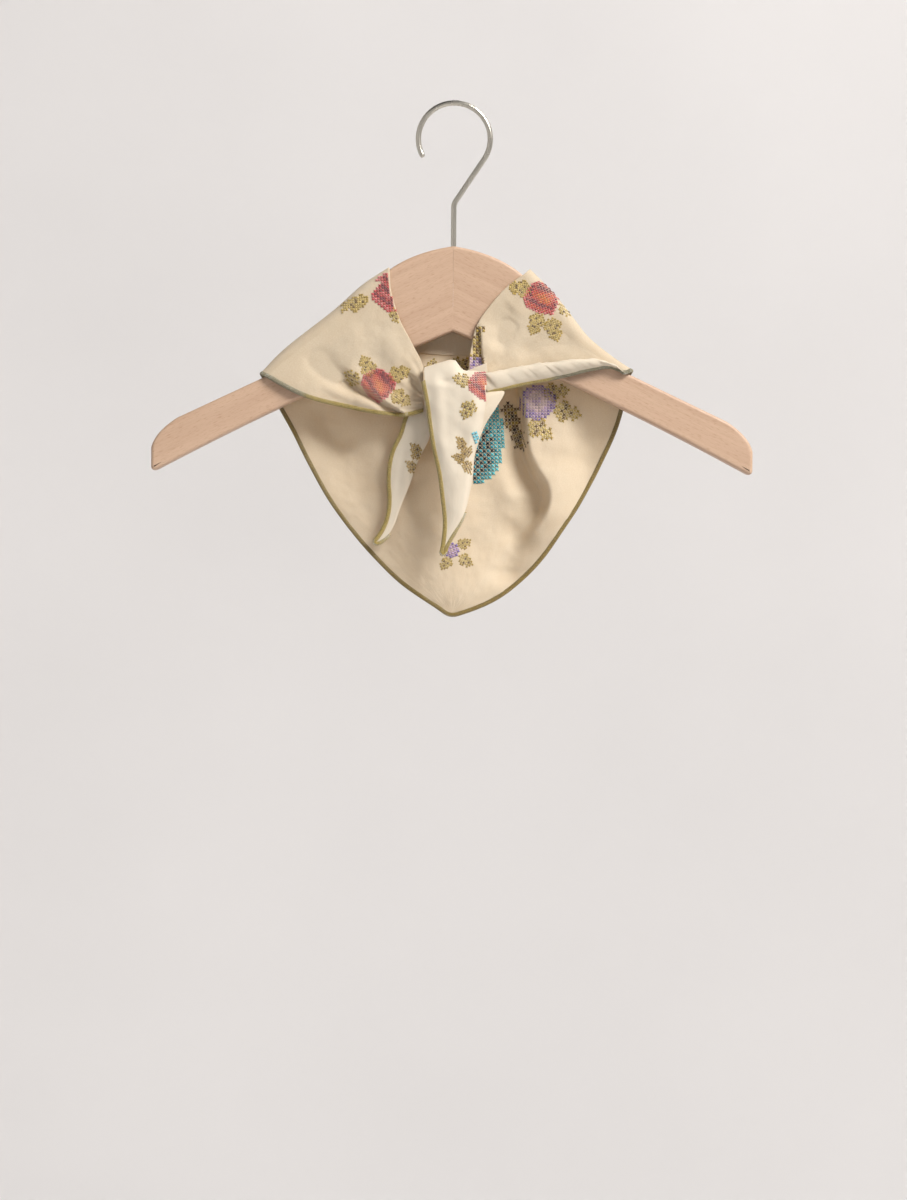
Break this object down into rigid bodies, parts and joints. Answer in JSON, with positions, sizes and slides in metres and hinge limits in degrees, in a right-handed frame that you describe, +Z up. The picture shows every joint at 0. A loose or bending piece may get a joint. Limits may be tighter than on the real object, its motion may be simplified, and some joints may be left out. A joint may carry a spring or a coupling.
{
  "type": "neckerchief on a clothes hanger",
  "caption": "Cream cross-stitched voile neckerchief with a merrowed hem, tied in a half knot round a flat wooden clothes hanger with a wire hook.",
  "frame": {"origin": "inside top of the hook's bend, where the hanger hangs on a rail or peg", "axes": "+Z up; +X along the hanger's span, to the right seen from the knotted front; the front faces -Y"},
  "size_m": [0.3, 0.0345, 0.2577],
  "materials": {
    "beech": "sanded pale beech with a thin matt lacquer",
    "wire": "drawn steel wire with bright nickel plating",
    "voile": "cream cotton voile, plain weave, soft matt",
    "hem_thread": "olive merrowed overlock thread, soft sheen",
    "rose_thread": "stranded cotton cross-stitch in reds and pinks",
    "leaf_thread": "stranded cotton cross-stitch in olives",
    "blue_thread": "stranded cotton cross-stitch in teals, lilacs and navy"
  },
  "bodies": {
    "root": {"hanger_arm_left": "beech", "hanger_arm_right": "beech", "hook": "wire", "kerchief": "voile", "hem_outer": "hem_thread", "hem_front_tail": "hem_thread", "hem_side_tail": "hem_thread"}
  },
  "joints": []
}
